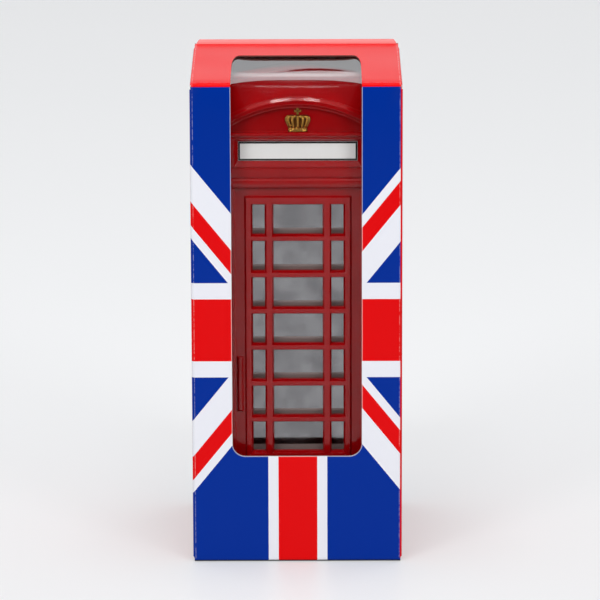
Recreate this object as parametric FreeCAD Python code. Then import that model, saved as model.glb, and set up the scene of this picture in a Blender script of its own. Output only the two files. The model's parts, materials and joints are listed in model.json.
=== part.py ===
import FreeCAD, Part
import math
import os

# A metal money box in the shape of a street telephone kiosk, standing in the printed
# window carton that it is sold in. Four wall castings stand on a plinth, a domed roof
# with the coin slot closes them, and two long screws tie the roof to the plinth. A
# turning stopper in the plinth lets the coins out. The carton is one folded sheet, and
# its window runs from the front up over the fold and into the lid.
#
# All sizes are in millimetres and all angles in degrees. +Z is up, +X is to the right
# and +Y points away from the viewer. The origin is the centre of the carton's foot, on
# the surface that the carton stands on.

# Panes: three across and eight down on each glazed side
pane_rows = 8
pane_height = 10.5
pane_centre_width = 17.2
pane_side_width = 4.25
bar_height = 2.67
mullion_width = 3.1
bar_depth = 3.0
pane_bevel = 0.6
pane_bevel_depth = 1.4
glass_thickness = 0.8
glass_lap = 1.5
glass_pocket_margin = 1.0

# Door leaf, and the wall casting round it
stile_width = 2.8
top_rail_height = 3.4
bottom_rail_height = 12.1
leaf_rise = 0.7
leaf_bevel = 0.5
threshold_height = 2.9
reveal_width = 3.45
reveal_head = 3.0
reveal_depth = 1.4
pilaster_width = 7.0
wall_depth = 5.2
corner_radius = 1.6
pull_height = 20.0
pull_width = 2.1
pull_rise = 1.0
pull_middle = 0.372

# Plinth, with the floor plate that holds the stopper
plinth_height = 9.5
plinth_step = 0.8
plinth_chamfer = 1.4
plinth_wall = 2.6
floor_bottom = 3.2
floor_thickness = 2.0
rib_length = 28.0
rib_thickness = 1.3
rib_height = 2.0
rib_clearance = 0.1

# Stopper: a disc with two curved tabs, whose lugs lock above the floor plate
stopper_radius = 15.2
stopper_wall = 1.6
stopper_clearance = 0.3
stopper_lift = 0.1
tab_angle = 80.0
flange_width = 2.8
flange_thickness = 1.4
lug_width = 2.3
lug_thickness = 1.5
lug_count = 2
lug_angle = 40.0
notch_angle = 50.0
notch_turn = 75.0
grip_length = 24.0
grip_width = 4.0
grip_height = 1.2

# Long screws from the plinth up into the roof
screw_radius = 1.25
screw_head_radius = 2.4
screw_head_height = 1.4
screw_hole_clearance = 0.2
screw_thread_clearance = 0.02
screw_grip = 9.0
boss_half = 2.8
screw_inset = 2.8

# Roof: bead, band, lit sign, ledge, segmental pediments and a shallow dome
roof_wall = 3.2
roof_shell = 2.4
bead_height = 3.5
band_height = 3.6
groove_width = 0.5
groove_depth = 0.4
fascia_height = 11.1
ledge_height = 1.8
ledge_overhang = 0.6
tympanum_height = 8.8
tympanum_depth = 1.5
arch_radius = 44.5
arch_width = 4.0
arch_roll = 1.7
dome_rise = 2.5
dome_face_fall = 2.4
dome_corner_fall = 8.0
slot_length = 34.0
slot_width = 4.6

# Sign plates
sign_width = 41.7
sign_height = 6.8
sign_thickness = 0.8
sign_clearance = 0.1
sign_bevel_side = 1.35
sign_bevel_top = 1.0
sign_bevel_bottom = 2.1
sign_depth = 1.2

# Crown on each pediment
crown_width = 9.2
crown_height = 8.7
crown_thickness = 1.1
crown_relief = 0.75
crown_band_width = 7.0
crown_band_height = 1.5
crown_foot_width = 6.6
crown_cap_height = 4.3
crown_bar = 0.6
crown_cross_width = 1.7
crown_cross_drop = 0.6

# Carton
card = 0.45
crease_radius = 1.3
side_room = 6.55
front_room = 5.55
head_room = 3.15
bank_shift = 0.5
lid_inset = 0.5
window_half = 22.8
window_sill = 39.0
window_corner = 4.6
lid_window_depth = 46.5
lid_window_corner_x = 2.6
lid_window_corner_y = 17.0
film = 0.2
film_lap = 4.0
tuck_length = 12.0
tuck_taper = 3.0
tuck_rise = 1.4
tuck_clearance = 0.6
dust_flap_length = 13.0
dust_flap_gap = 0.45
dust_flap_ends = 2.5
base_flap_length = 28.0
seam_width = 12.0

# Places that follow from the sizes above
V = FreeCAD.Vector
origin = V(0, 0, 0)
up = V(0, 0, 1)
side_names = ("front", "right", "back", "left")
side_angles = {side: 360 * turn / len(side_names) for turn, side in enumerate(side_names)}
lug_angles = [360 * lug / lug_count for lug in range(lug_count)]

glazing_half = pane_centre_width / 2 + mullion_width + pane_side_width
leaf_half = glazing_half + stile_width
reveal_half = leaf_half + reveal_width
wall_half = reveal_half + pilaster_width
wall_inner = wall_half - wall_depth
body_half = wall_half + plinth_step
floor_top = floor_bottom + floor_thickness
leaf_bottom = plinth_height + threshold_height
glazing_bottom = leaf_bottom + bottom_rail_height
glazing_top = glazing_bottom + pane_rows * pane_height + (pane_rows - 1) * bar_height
leaf_top = glazing_top + top_rail_height
wall_top = leaf_top + reveal_head
leaf_face = -wall_half + reveal_depth - leaf_rise

bead_top = wall_top + bead_height
band_top = bead_top + band_height
ledge_bottom = band_top + fascia_height
ledge_top = ledge_bottom + ledge_height
arch_inner_top = ledge_top + tympanum_height
arch_outer_top = arch_inner_top + arch_width
dome_top = arch_outer_top + dome_rise
roof_inner = wall_half - roof_wall
tympanum_face = -wall_half + tympanum_depth
sign_bottom = band_top + groove_width + sign_bevel_bottom
rib_outer = wall_inner - rib_clearance
plinth_inner = rib_outer - rib_thickness
screw_place = plinth_inner - screw_inset
boss_bottom = band_top + groove_width

bank_foot = 2 * card
carton_half_x = body_half + side_room + card
carton_half_y = body_half + front_room + card
carton_top = bank_foot + dome_top + head_room + card
lid_half_x = carton_half_x - lid_inset
lid_hinge_z = carton_top - crease_radius
tuck_back = carton_half_y - card - tuck_clearance
lid_rear = tuck_back - 2 * tuck_rise
dust_flap_top = carton_top - card - dust_flap_gap
side_panel_top = dust_flap_top - crease_radius
side_panel_bottom = card + crease_radius


def box(x, y, z):
    """A block between the pairs of limits x, y and z."""
    corner = V(x[0], y[0], z[0])
    return Part.makeBox(x[1] - x[0], y[1] - y[0], z[1] - z[0], corner)


def polygon(points):
    """A closed wire through the points."""
    return Part.makePolygon(list(points) + [points[0]])


def prism(outline, bottom, top):
    """An upright prism on a list of (x, y) points."""
    face = Part.Face(polygon([V(x, y, bottom) for x, y in outline]))
    return face.extrude(V(0, 0, top - bottom))


def rounded_wire(half_x, half_y, radius, z):
    """A rectangle with round corners, centred on the Z axis."""
    edges = []
    x, y = half_x - radius, half_y - radius
    for turn, (cx, cy) in enumerate([(x, y), (-x, y), (-x, -y), (x, -y)]):
        start = math.radians(90 * turn)
        points = []
        for step in range(3):
            angle = start + step * math.pi / 4
            points.append(V(cx + radius * math.cos(angle), cy + radius * math.sin(angle), z))
        if edges:
            edges.append(Part.makeLine(edges[-1].Vertexes[-1].Point, points[0]))
        edges.append(Part.Arc(*points).toShape())
    edges.append(Part.makeLine(edges[-1].Vertexes[-1].Point, edges[0].Vertexes[0].Point))
    return Part.Wire(edges)


def rounded_column(half_x, half_y, radius, bottom, top):
    """An upright column with round corners, centred on the Z axis."""
    face = Part.Face(rounded_wire(half_x, half_y, radius, bottom))
    return face.extrude(V(0, 0, top - bottom))


def rectangle_corners(y, x, z):
    """Corners of a rectangle in the plane at depth y, between the limits x and z."""
    return [V(x[0], y, z[0]), V(x[1], y, z[0]), V(x[1], y, z[1]), V(x[0], y, z[1])]


def tapered_block(sections):
    """A flat-faced solid through (y, x limits, z limits) rectangles."""
    rings = [rectangle_corners(*section) for section in sections]
    faces = [Part.Face(polygon(rings[0])), Part.Face(polygon(rings[-1]))]
    for near, far in zip(rings, rings[1:]):
        for side in range(4):
            after = (side + 1) % 4
            faces.append(Part.Face(polygon([near[side], near[after], far[after], far[side]])))
    return Part.makeSolid(Part.makeShell(faces))


def grown(limits, amount):
    """A pair of limits moved apart by the amount at each end."""
    return (limits[0] - amount, limits[1] + amount)


def joined(shapes):
    """All the shapes as one solid, without the seams between them."""
    return shapes[0].multiFuse(shapes[1:]).removeSplitter()


def turned(shape, angle):
    """A copy of the shape turned about the vertical centre line."""
    copy = shape.copy()
    copy.rotate(origin, up, angle)
    return copy


def on_four_sides(shape):
    """The shape and its three copies on the other sides."""
    return [turned(shape, angle) for angle in side_angles.values()]


def moulded_block(edges):
    """A square block whose four sides share one outline, mitred at the corners.

    The edges run in the YZ plane from the centre line round one side and back to it.
    """
    half = Part.Face(Part.Wire(edges))
    reach = V(4 * body_half, 0, 0)
    one_side = half.translated(-reach / 2).extrude(reach)
    bar = one_side.fuse(turned(one_side, 180)).removeSplitter()
    return bar.common(turned(bar, 90))


def outline_edges(points):
    """Straight edges through (y, z) points in the YZ plane."""
    corners = [V(0, y, z) for y, z in points]
    return [Part.makeLine(a, b) for a, b in zip(corners, corners[1:])]


def dome_height(x, y):
    """Height of the roof's outer skin above the plan point x, y."""
    across = (x / wall_half) ** 2
    along = (y / wall_half) ** 2
    return dome_top - dome_face_fall * (across + along) - dome_corner_fall * across * along


def dome_block():
    """The roof's upper block: a square plan under a dome that ends in an arch on each side."""
    half = body_half
    bottom = ledge_top - groove_width
    sections = []
    for y in (-half, 0, half):
        left, right = V(-half, y, dome_height(half, y)), V(half, y, dome_height(half, y))
        crest = V(0, y, dome_height(0, y))
        foot_left, foot_right = V(-half, y, bottom), V(half, y, bottom)
        edges = [
            Part.makeLine(foot_left, foot_right),
            Part.makeLine(foot_right, right),
            Part.Arc(right, crest, left).toShape(),
            Part.makeLine(left, foot_left),
        ]
        sections.append(Part.Wire(edges))
    square = grown((0, 0), wall_half)
    return Part.makeLoft(sections, True, False).common(box(square, square, (bottom, dome_top)))


def roof_hollow():
    """The hollow under the roof: two crossing barrel vaults that follow the dome's edges."""
    half = roof_inner
    shoulder = dome_height(half, half) - roof_shell
    crest = V(0, -half, dome_height(half, 0) - roof_shell)
    left, right = V(-half, -half, shoulder), V(half, -half, shoulder)
    foot_left, foot_right = V(-half, -half, wall_top - 1), V(half, -half, wall_top - 1)
    edges = [
        Part.makeLine(foot_left, foot_right),
        Part.makeLine(foot_right, right),
        Part.Arc(right, crest, left).toShape(),
        Part.makeLine(left, foot_left),
    ]
    barrel = Part.Face(Part.Wire(edges)).extrude(V(0, 2 * half, 0))
    return barrel.common(turned(barrel, 90))


def pane_columns():
    """Limits in x of the three panes of a row."""
    side_start = pane_centre_width / 2 + mullion_width
    side = (side_start, side_start + pane_side_width)
    return [(-side[1], -side[0]), (-pane_centre_width / 2, pane_centre_width / 2), side]


def pane_opening(x, z):
    """A hole for one pane, with its sloping edge at the front."""
    over = 0.5
    splay = pane_bevel * (1 + over / pane_bevel_depth)
    front = leaf_face - over
    back = leaf_face + bar_depth + over
    sections = [
        (front, grown(x, splay), grown(z, splay)),
        (leaf_face + pane_bevel_depth, x, z),
        (back, x, z),
    ]
    return tapered_block(sections)


def pane_openings():
    """The holes for every pane of one wall."""
    holes = []
    for row in range(pane_rows):
        bottom = glazing_bottom + row * (pane_height + bar_height)
        for x in pane_columns():
            holes.append(pane_opening(x, (bottom, bottom + pane_height)))
    return holes


def wall_blank():
    """A wall with its reveal and plain door leaf, facing the viewer."""
    outline = [(-wall_half, -wall_half), (wall_half, -wall_half),
               (wall_inner, -wall_inner), (-wall_inner, -wall_inner)]
    blank = prism(outline, plinth_height, wall_top)
    blank = blank.common(rounded_column(wall_half, wall_half, corner_radius, plinth_height, wall_top))
    reveal_floor = -wall_half + reveal_depth
    reveal = box((-reveal_half, reveal_half), (-body_half, reveal_floor), (leaf_bottom, wall_top + 1))
    leaf_x, leaf_z = (-leaf_half, leaf_half), (leaf_bottom, leaf_top)
    leaf = tapered_block([
        (reveal_floor + leaf_rise, leaf_x, leaf_z),
        (reveal_floor, leaf_x, leaf_z),
        (leaf_face, grown(leaf_x, -leaf_bevel), grown(leaf_z, -leaf_bevel)),
    ])
    return joined([blank.cut(reveal), leaf])


def glass_pocket_limits(margin):
    """Limits in x and z of the pocket behind the glazing bars, grown by a margin."""
    x = (-glazing_half - margin, glazing_half + margin)
    z = (glazing_bottom - margin, glazing_top + margin)
    return x, z


def cored_wall():
    """A wall with the pocket in its back, which leaves an even skin at the front."""
    x, z = glass_pocket_limits(glass_pocket_margin)
    return wall_blank().cut(box(x, (leaf_face + bar_depth, -wall_inner + 1), z))


def make_glazed_wall():
    return cored_wall().cut(Part.makeCompound(pane_openings()))


def make_door_wall():
    """The front wall, which also carries the door pull."""
    middle = leaf_bottom + (wall_top - leaf_bottom) * pull_middle + pull_height / 4
    place = -reveal_half + reveal_width / 2
    z = (middle - pull_height / 2, middle + pull_height / 2)
    x = (place - pull_width / 2, place + pull_width / 2)
    floor = -wall_half + reveal_depth
    bevel = pull_width / 4
    pull = tapered_block([
        (floor + pull_rise, x, z),
        (floor - pull_rise / 2, x, z),
        (floor - pull_rise, grown(x, -bevel), grown(z, -bevel)),
    ])
    return joined([make_glazed_wall(), pull])


def make_glazing():
    """The sheet behind the panes, seated on the wall's inner face."""
    x, z = glass_pocket_limits(glass_pocket_margin + glass_lap)
    return box(x, (-wall_inner, -wall_inner + glass_thickness), z)


def locating_ribs(base, tip):
    """Four ribs that keep the walls in place from inside."""
    rib = box((-rib_length / 2, rib_length / 2), (-rib_outer, -plinth_inner), (base, tip))
    return on_four_sides(rib)


def screw_places():
    """Plan points of the two long screws, in opposite corners."""
    return [V(side * screw_place, side * screw_place, 0) for side in (-1, 1)]


def cylinder(radius, bottom, top, place=origin):
    """An upright cylinder at a plan point."""
    return Part.makeCylinder(radius, top - bottom, place + V(0, 0, bottom))


def ring_sector(inner, outer, bottom, top, middle_angle, angle):
    """Part of a ring about the Z axis, centred on the middle angle."""
    sector = Part.makeCylinder(outer, top - bottom, V(0, 0, bottom), up, angle)
    sector = turned(sector, middle_angle - angle / 2)
    return sector.cut(cylinder(inner, bottom - 1, top + 1))


def make_plinth():
    shoulder = plinth_height - plinth_chamfer
    edges = outline_edges([(0, 0), (body_half, 0), (body_half, shoulder),
                           (wall_half, plinth_height), (0, plinth_height), (0, 0)])
    block = moulded_block(edges)
    block = block.common(rounded_column(body_half, body_half, corner_radius, 0, plinth_height))
    inside = (-plinth_inner, plinth_inner)
    block = block.cut(box(inside, inside, (floor_top, plinth_height + 1)))
    cored = (-body_half + plinth_wall, body_half - plinth_wall)
    block = block.cut(box(cored, cored, (-1, floor_bottom)))
    skirt = grown(inside, floor_thickness)
    groove = box(cored, cored, (floor_bottom - 1, plinth_height - plinth_wall))
    block = block.cut(groove.cut(box(skirt, skirt, (0, plinth_height))))
    holes = [cylinder(stopper_radius + stopper_clearance, 0, plinth_height)]
    notch_radius = stopper_radius + lug_width + stopper_clearance
    for locked in lug_angles:
        middle = locked + notch_turn
        holes.append(ring_sector(stopper_radius / 2, notch_radius, 0, plinth_height, middle, notch_angle))
    for place in screw_places():
        holes.append(cylinder(screw_radius + screw_hole_clearance, 0, plinth_height, place))
    block = block.cut(Part.makeCompound(holes))
    return joined([block] + locating_ribs(plinth_height - 1, plinth_height + rib_height))


def make_stopper():
    """The coin stopper: a disc with a finger grip, and curved tabs with locking lugs."""
    flange_top = floor_bottom - stopper_lift
    flange_bottom = flange_top - flange_thickness
    lug_bottom = floor_top + stopper_lift
    rim = lug_bottom + lug_thickness
    tab_inner = stopper_radius - stopper_wall
    lug_reach = stopper_radius + lug_width
    pieces = [cylinder(stopper_radius + flange_width, flange_bottom, flange_top)]
    for middle in lug_angles:
        pieces.append(ring_sector(tab_inner, stopper_radius, flange_top, rim, middle, tab_angle))
        pieces.append(ring_sector(tab_inner, lug_reach, lug_bottom, rim, middle, lug_angle))
    grip = rounded_column(grip_length / 2, grip_width / 2, grip_width / 2.1,
                          flange_bottom - grip_height, flange_bottom)
    return joined(pieces + [grip])


def make_tie_screws():
    """Both long screws, as one node."""
    screws = []
    for place in screw_places():
        head = cylinder(screw_head_radius, floor_bottom - screw_head_height, floor_bottom, place)
        shank = cylinder(screw_radius, floor_bottom, boss_bottom + screw_grip, place)
        screws.append(joined([head, shank]))
    return Part.makeCompound(screws)


def cornice_block():
    """The roof's lower block: bead, band, sign fascia and ledge."""
    inner = wall_half - groove_depth
    ledge_edge = wall_half + ledge_overhang
    bead_start, bead_end = V(0, wall_half, wall_top), V(0, wall_half, bead_top)
    bead_crest = V(0, body_half, (wall_top + bead_top) / 2)
    profile = [(0, wall_top), (wall_half, wall_top)]
    edges = outline_edges(profile)
    edges.append(Part.Arc(bead_start, bead_crest, bead_end).toShape())
    profile = [(wall_half, bead_top), (inner, bead_top), (inner, bead_top + groove_width),
               (wall_half, bead_top + groove_width), (wall_half, band_top), (inner, band_top),
               (inner, band_top + groove_width), (wall_half, band_top + groove_width),
               (wall_half, ledge_bottom), (ledge_edge, ledge_bottom + ledge_overhang),
               (ledge_edge, ledge_top - groove_width), (wall_half, ledge_top),
               (0, ledge_top), (0, wall_top)]
    return moulded_block(edges + outline_edges(profile))


def arch_moulding():
    """The raised moulding along the front pediment's arch, with sloping sides."""
    middle = arch_radius + arch_width / 2
    centre = V(0, 0, arch_inner_top - arch_radius)
    crest = arch_roll * 0.4
    profile = [(middle - arch_roll, tympanum_face), (middle - arch_roll, -wall_half),
               (middle - crest, -body_half), (middle + crest, -body_half),
               (middle + arch_roll, -wall_half), (middle + arch_roll, tympanum_face)]
    face = Part.Face(polygon([centre + V(0, y, radius) for radius, y in profile]))
    ring = face.revolve(centre, V(0, 1, 0), 360)
    keep = box((-body_half, body_half), (-body_half, tympanum_face), (ledge_top, dome_top))
    return ring.common(keep)


def tympanum_recess():
    """The sunk field of the front pediment, under the arch."""
    centre = V(0, -body_half, arch_inner_top - arch_radius)
    disc = Part.makeCylinder(arch_radius, body_half + tympanum_face, centre, V(0, 1, 0))
    return disc.common(box((-body_half, body_half), (-body_half, 0), (ledge_top, dome_top)))


def sign_recess():
    """The sloping surround of the front sign, with the pocket for its plate."""
    plate_x = (-sign_width / 2 - sign_clearance, sign_width / 2 + sign_clearance)
    plate_z = (sign_bottom - sign_clearance, sign_bottom + sign_height + sign_clearance)
    wide_x = grown(plate_x, sign_bevel_side)
    wide_z = (plate_z[0] - sign_bevel_bottom, plate_z[1] + sign_bevel_top)
    slope_end = -wall_half + sign_depth
    return tapered_block([
        (-wall_half, wide_x, wide_z),
        (slope_end, plate_x, plate_z),
        (slope_end + sign_thickness, plate_x, plate_z),
    ])


def make_roof():
    column = rounded_column(body_half, body_half, corner_radius, wall_top, dome_top)
    outside = joined([cornice_block(), dome_block()])
    outside = outside.cut(Part.makeCompound(on_four_sides(tympanum_recess())))
    outside = joined([outside] + on_four_sides(arch_moulding())).common(column)
    outside = outside.cut(Part.makeCompound(on_four_sides(sign_recess())))
    roof = outside.cut(roof_hollow())
    boss_top = dome_height(screw_place + boss_half, screw_place + boss_half) - roof_shell / 2
    bosses = []
    for place in screw_places():
        bosses.append(box(grown((place.x, place.x), boss_half), grown((place.y, place.y), boss_half),
                          (boss_bottom, boss_top)))
    brackets = box((-rib_length / 2, rib_length / 2), (-roof_inner - 1, -plinth_inner),
                   (wall_top, wall_top + rib_height))
    roof = joined([roof] + bosses + on_four_sides(brackets)
                  + locating_ribs(wall_top - rib_height, wall_top + rib_height))
    holes = [cylinder(screw_radius + screw_thread_clearance, wall_top, boss_bottom + screw_grip, place)
             for place in screw_places()]
    slot = box((-slot_length / 2, slot_length / 2), (-slot_width / 2, slot_width / 2),
               (ledge_top, dome_top + 1))
    return roof.cut(Part.makeCompound(holes + [slot]))


def make_sign():
    """A sign plate, standing in its pocket in the front of the roof."""
    y = -wall_half + sign_depth
    return box((-sign_width / 2, sign_width / 2), (y, y + sign_thickness),
               (sign_bottom, sign_bottom + sign_height))


def crown_cap(base, top):
    """The flared cap of the crown, with two lobes that meet in a dip at the middle."""
    half, foot = crown_width / 2, crown_foot_width / 2
    waist, dip = (base + top) / 2, top - crown_bar
    y = tympanum_face
    left = [
        Part.Arc(V(-foot, y, base), V(-half, y, (base + waist) / 2), V(-half, y, waist)).toShape(),
        Part.Arc(V(-half, y, waist), V(-half / 2, y, top), V(0, y, dip)).toShape(),
    ]
    right = [edge.mirror(origin, V(1, 0, 0)) for edge in left]
    floor = Part.makeLine(V(-foot, y, base), V(foot, y, base))
    wire = Part.Wire(Part.__sortEdges__(left + right + [floor]))
    return Part.Face(wire).extrude(V(0, -crown_relief, 0))


def make_crown():
    """The gilt crown that stands on the ledge against the front pediment."""
    band_top_z = ledge_top + crown_band_height
    cap_top = band_top_z + crown_cap_height
    cross_top = ledge_top + crown_height
    cross_middle = cross_top - crown_cross_drop - crown_bar / 2
    relief = (tympanum_face - crown_relief, tympanum_face)
    band = box(grown((0, 0), crown_band_width / 2), (tympanum_face - crown_thickness, tympanum_face),
               (ledge_top, band_top_z))
    stem = box(grown((0, 0), crown_bar / 2), relief, (band_top_z, cross_top))
    arms = box(grown((0, 0), crown_cross_width / 2), relief,
               grown((cross_middle, cross_middle), crown_bar / 2))
    return joined([band, crown_cap(band_top_z, cap_top), stem, arms])


def quarter_ring(place, along, corner, radius=crease_radius):
    """A folded strip's bend: a quarter ring along a line, in the quadrant of the corner point."""
    reach = 2 * radius
    length = along.Length
    ring = Part.makeCylinder(radius, length, place, along)
    ring = ring.cut(Part.makeCylinder(radius - card, length, place, along))
    far = place + along + corner * reach
    low = V(min(place.x, far.x), min(place.y, far.y), min(place.z, far.z))
    high = V(max(place.x, far.x), max(place.y, far.y), max(place.z, far.z))
    return ring.common(box((low.x, high.x), (low.y, high.y), (low.z, high.z)))


def carton_tube(bottom, top):
    """The carton's four upright panels as one tube with round creases."""
    outer = rounded_column(carton_half_x, carton_half_y, crease_radius, bottom, top)
    inner = rounded_column(carton_half_x - card, carton_half_y - card, crease_radius - card, bottom, top)
    return outer.cut(inner)


def carton_panel(side, bottom, top):
    """One upright panel of the tube, mitred to its neighbours in the creases."""
    x, y = carton_half_x, carton_half_y
    depth = 2 * crease_radius
    near = [(-x, -y), (x, -y), (x - depth, -y + depth), (-x + depth, -y + depth)]
    wide = [(x, -y), (x, y), (x - depth, y - depth), (x - depth, -y + depth)]
    outlines = {
        "front": near,
        "right": wide,
        "back": [(-cx, -cy) for cx, cy in near],
        "left": [(-cx, -cy) for cx, cy in wide],
    }
    return carton_tube(bottom, top).common(prism(outlines[side], bottom, top))


def front_window():
    """The window cut through the front panel, open at the top."""
    y, radius = -carton_half_y - 1, window_corner
    middle = window_half - radius
    low = window_sill + radius
    bend = radius * math.sqrt(0.5)
    corners = {}
    for side in (-1, 1):
        corners[side] = Part.Arc(V(side * window_half, y, low),
                                 V(side * (middle + bend), y, low - bend),
                                 V(side * middle, y, window_sill)).toShape()
    top = carton_top + 1
    edges = [
        Part.makeLine(V(-window_half, y, top), V(-window_half, y, low)),
        corners[-1],
        Part.makeLine(V(-middle, y, window_sill), V(middle, y, window_sill)),
        corners[1],
        Part.makeLine(V(window_half, y, low), V(window_half, y, top)),
        Part.makeLine(V(window_half, y, top), V(-window_half, y, top)),
    ]
    wire = Part.Wire(Part.__sortEdges__(edges))
    return Part.Face(wire).extrude(V(0, card + 2 * crease_radius, 0))


def lid_window():
    """The window cut through the lid, open at the front, with long rear corners."""
    z = carton_top - 2 * crease_radius
    front, rear = -carton_half_y - 1, -carton_half_y + lid_window_depth
    middle_x, middle_y = window_half - lid_window_corner_x, rear - lid_window_corner_y
    right_centre = V(middle_x, middle_y, z)
    ellipse = Part.Ellipse(V(middle_x, rear, z), V(window_half, middle_y, z), right_centre)
    right_corner = Part.ArcOfEllipse(ellipse, 0, math.pi / 2).toShape()
    left_corner = right_corner.mirror(origin, V(1, 0, 0))
    edges = [
        Part.makeLine(V(-window_half, front, z), V(window_half, front, z)),
        Part.makeLine(V(window_half, front, z), V(window_half, middle_y, z)),
        right_corner,
        Part.makeLine(V(middle_x, rear, z), V(-middle_x, rear, z)),
        left_corner,
        Part.makeLine(V(-window_half, middle_y, z), V(-window_half, front, z)),
    ]
    wire = Part.Wire(Part.__sortEdges__(edges))
    return Part.Face(wire).extrude(V(0, 0, 3 * crease_radius))


def make_carton_front():
    return carton_panel("front", crease_radius, lid_hinge_z).cut(front_window())


def make_carton_back():
    return carton_panel("back", 0, carton_top - card)


def make_carton_side(side):
    return carton_panel(side, side_panel_bottom, side_panel_top)


def make_glue_seam():
    """The strip that joins the sheet's ends, inside the back left corner."""
    x = -carton_half_x + card
    y = carton_half_y - card - crease_radius
    return box((x, x + card), (y - seam_width, y), (side_panel_bottom + card, side_panel_top))


def make_lid_panel():
    """The lid, with the fold that hinges it to the front panel."""
    y = -carton_half_y + crease_radius
    width = (-lid_half_x, lid_half_x)
    fold = quarter_ring(V(-lid_half_x, y, lid_hinge_z), V(2 * lid_half_x, 0, 0), V(0, -1, 1))
    flat = box(width, (y, lid_rear), (carton_top - card, carton_top))
    return joined([fold, flat]).cut(lid_window())


def tuck_wedge(half, foot, tip):
    """A cutter that leaves a flap's end tapered towards its tip."""
    outline = [V(half, 0, foot), V(half + 1, 0, foot), V(half + 1, 0, tip), V(half - tuck_taper, 0, tip)]
    right = Part.Face(polygon(outline)).extrude(V(0, carton_half_y, 0))
    return Part.makeCompound([right, right.mirror(origin, V(1, 0, 0))])


def make_tuck_flap():
    """The lid's flap that tucks in behind the back panel. Its fold stands proud of the lid."""
    half = lid_half_x - lid_inset
    width = (-half, half)
    crest, along = V(-half, tuck_back - tuck_rise, carton_top), V(2 * half, 0, 0)
    fold = [quarter_ring(crest, along, V(0, side, 1), tuck_rise) for side in (-1, 1)]
    root = box(width, (lid_rear, lid_rear + card), (carton_top - card, carton_top))
    tip = lid_hinge_z - tuck_length
    leg = box(width, (tuck_back - card, tuck_back), (tip, carton_top))
    return joined(fold + [root, leg]).cut(tuck_wedge(half, lid_hinge_z, tip))


def make_dust_flap_right():
    """The right-hand flap under the lid, cut away at the front so that it can follow the lid."""
    front = -carton_half_y + crease_radius + dust_flap_ends
    rear = tuck_back - card - dust_flap_ends
    x = carton_half_x - crease_radius
    tip = carton_half_x - dust_flap_length
    bend = quarter_ring(V(x, front, side_panel_top), V(0, rear - front, 0), V(1, 0, 1))
    flat = box((tip, x), (front, rear), (dust_flap_top - card, dust_flap_top))
    cut_start = carton_half_x - 2 * crease_radius
    cut_length = cut_start - tip
    corner = prism([(tip - 1, front - 1), (cut_start, front - 1), (cut_start, front),
                    (tip, front + cut_length), (tip - 1, front + cut_length)],
                   dust_flap_top - 2 * card, dust_flap_top + card)
    return joined([bend, flat]).cut(corner)


def make_carton_base():
    """The bottom panel with its fold to the front and its tuck inside the back."""
    y = -carton_half_y + crease_radius
    front_fold = quarter_ring(V(-lid_half_x, y, crease_radius), V(2 * lid_half_x, 0, 0), V(0, -1, -1))
    inside_back = carton_half_y - card
    rear = inside_back - crease_radius
    flat = box((-lid_half_x, lid_half_x), (y, rear), (0, card))
    rear_fold = quarter_ring(V(-lid_half_x, rear, crease_radius), V(2 * lid_half_x, 0, 0), V(0, 1, -1))
    leg = box((-lid_half_x, lid_half_x), (inside_back - card, inside_back), (crease_radius, tuck_length))
    half = lid_half_x - crease_radius
    slim = box((-half, half), (rear, carton_half_y), (0, tuck_length))
    return joined([front_fold, flat, joined([rear_fold, leg]).common(slim)])


def make_base_flap_right():
    """The right-hand bottom flap, lying on the bottom panel."""
    front, rear = -carton_half_y + 2 * crease_radius, carton_half_y - card - 2 * crease_radius
    x = carton_half_x - crease_radius
    bend = quarter_ring(V(x, front, side_panel_bottom), V(0, rear - front, 0), V(1, 0, -1))
    flat = box((carton_half_x - base_flap_length, x), (front, rear), (card, 2 * card))
    return joined([bend, flat])


def make_window_film_front():
    """The clear film glued behind the front panel, up to the fold."""
    y = -carton_half_y + card
    half = window_half + film_lap
    return box((-half, half), (y, y + film), (window_sill - film_lap, lid_hinge_z))


def make_window_film_lid():
    """The same film where it carries on under the lid."""
    half = window_half + film_lap
    z = carton_top - card
    front = -carton_half_y + crease_radius
    return box((-half, half), (front, -carton_half_y + lid_window_depth + film_lap), (z - film, z))


def mirrored(shape):
    """The shape's mirror image on the other side, left for right."""
    return shape.mirror(origin, V(1, 0, 0))


def money_box_nodes():
    """The kiosk's parts, standing on the carton's bottom flaps, a little right of its middle."""
    glazed = make_glazed_wall()
    nodes = {
        "door_wall": make_door_wall(),
        "left_wall": turned(glazed, side_angles["left"]),
        "right_wall": turned(glazed, side_angles["right"]),
        "back_wall": turned(cored_wall(), side_angles["back"]),
        "roof": make_roof(),
        "plinth": make_plinth(),
        "coin_stopper": make_stopper(),
        "tie_screws": make_tie_screws(),
    }
    for side, angle in side_angles.items():
        nodes["sign_" + side] = turned(make_sign(), angle)
        nodes["crown_" + side] = turned(make_crown(), angle)
        if side != "back":
            nodes["glazing_" + side] = turned(make_glazing(), angle)
    return {name: shape.translated(V(bank_shift, 0, bank_foot)) for name, shape in nodes.items()}


def carton_nodes():
    """The carton's panels, flaps and window film."""
    dust_flap = make_dust_flap_right()
    base_flap = make_base_flap_right()
    return {
        "carton_front": make_carton_front(),
        "carton_back": make_carton_back(),
        "carton_left": make_carton_side("left"),
        "carton_right": make_carton_side("right"),
        "carton_base": make_carton_base(),
        "glue_seam": make_glue_seam(),
        "base_flap_left": mirrored(base_flap),
        "base_flap_right": base_flap,
        "lid_panel": make_lid_panel(),
        "lid_tuck_flap": make_tuck_flap(),
        "dust_flap_left": mirrored(dust_flap),
        "dust_flap_right": dust_flap,
        "window_film_front": make_window_film_front(),
        "window_film_lid": make_window_film_lid(),
    }


os.makedirs("parts", exist_ok=True)
all_nodes = {**money_box_nodes(), **carton_nodes()}
for node_name, node_shape in all_nodes.items():
    node_shape.exportStep("parts/" + node_name + ".step")
print(len(all_nodes), "parts written")
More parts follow.
